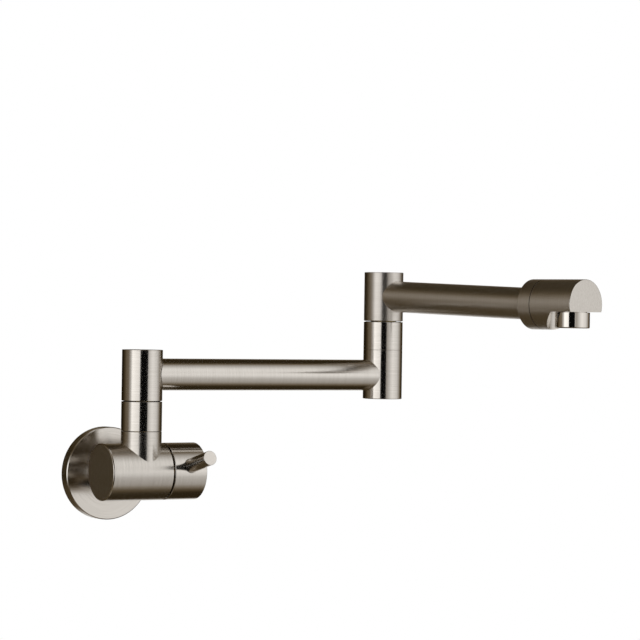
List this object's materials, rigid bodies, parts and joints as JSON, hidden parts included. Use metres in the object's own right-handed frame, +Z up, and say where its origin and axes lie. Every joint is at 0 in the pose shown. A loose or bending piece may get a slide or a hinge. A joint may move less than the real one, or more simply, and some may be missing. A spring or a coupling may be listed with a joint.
{
  "type": "wall mounted pot filler",
  "caption": "Wall mounted pot filler tap: barrel valve with a pin lever, jointed swivelling tube arms and a cut-away spout head with aerator, in brushed nickel.",
  "frame": {"origin": "centre of the wall flange on the wall plane, on the inlet's axis", "axes": "+Z up, +Y into the wall, the barrel and the first arm along +X"},
  "size_m": [0.2899, 0.2566, 0.177],
  "materials": {
    "brushed_nickel": "warm brushed nickel plate on brass, fine straight grain",
    "polished_nickel": "polished nickel plate",
    "brass": "turned brass, unplated, inside",
    "stainless": "plain stainless steel",
    "rubber": "matt black rubber",
    "ceramic": "lapped white ceramic",
    "white_plastic": "white moulded plastic",
    "black_plastic": "black turned acetal"
  },
  "bodies": {
    "valve": {"wall_flange": "brushed_nickel", "flange_o_ring": "rubber", "inlet_nipple": "brass", "inlet_filter": "stainless", "inlet_washer": "rubber", "valve_body": "brushed_nickel", "cartridge_body": "brass", "cartridge_seal": "rubber", "ceramic_disc_fixed": "ceramic", "cartridge_nut": "brass", "collar_1": "brushed_nickel", "pivot_post_1": "brass", "bearing_washer_1": "black_plastic", "o_ring_1a": "rubber", "o_ring_1b": "rubber", "retaining_nut_1": "brass"},
    "knob": {"knob_shell": "brushed_nickel", "lever_pin": "brushed_nickel", "knob_set_screw": "stainless", "cartridge_stem": "brass", "stem_o_ring": "rubber", "ceramic_disc_moving": "ceramic"},
    "arm_1": {"carrier_1": "brushed_nickel", "top_cap_1": "brushed_nickel", "arm_tube_1": "brushed_nickel", "carrier_2": "brushed_nickel", "collar_2": "brushed_nickel", "pivot_post_2": "brass", "bearing_washer_2": "black_plastic", "o_ring_2a": "rubber", "o_ring_2b": "rubber", "retaining_nut_2": "brass"},
    "arm_2": {"carrier_3": "brushed_nickel", "top_cap_2": "brushed_nickel", "arm_tube_2": "brushed_nickel", "spout_head": "brushed_nickel", "aerator_housing": "polished_nickel", "aerator_insert": "white_plastic", "aerator_gasket": "rubber"}
  },
  "joints": [
    {"name": "lever_turn", "type": "hinge", "parent": "valve", "child": "knob", "pos_m": [0.03145, -0.0528, 0.0035], "axis": [-1, 0, 0], "range_deg": [0, 90]},
    {"name": "swivel_1", "type": "hinge", "parent": "valve", "child": "arm_1", "pos_m": [0, -0.057, 0.0525], "axis": [0, 0, 1], "range_deg": [-190, 10]},
    {"name": "swivel_2", "type": "hinge", "parent": "arm_1", "child": "arm_2", "pos_m": [0.195, -0.057, 0.1095], "axis": [0, 0, 1], "continuous": true}
  ]
}
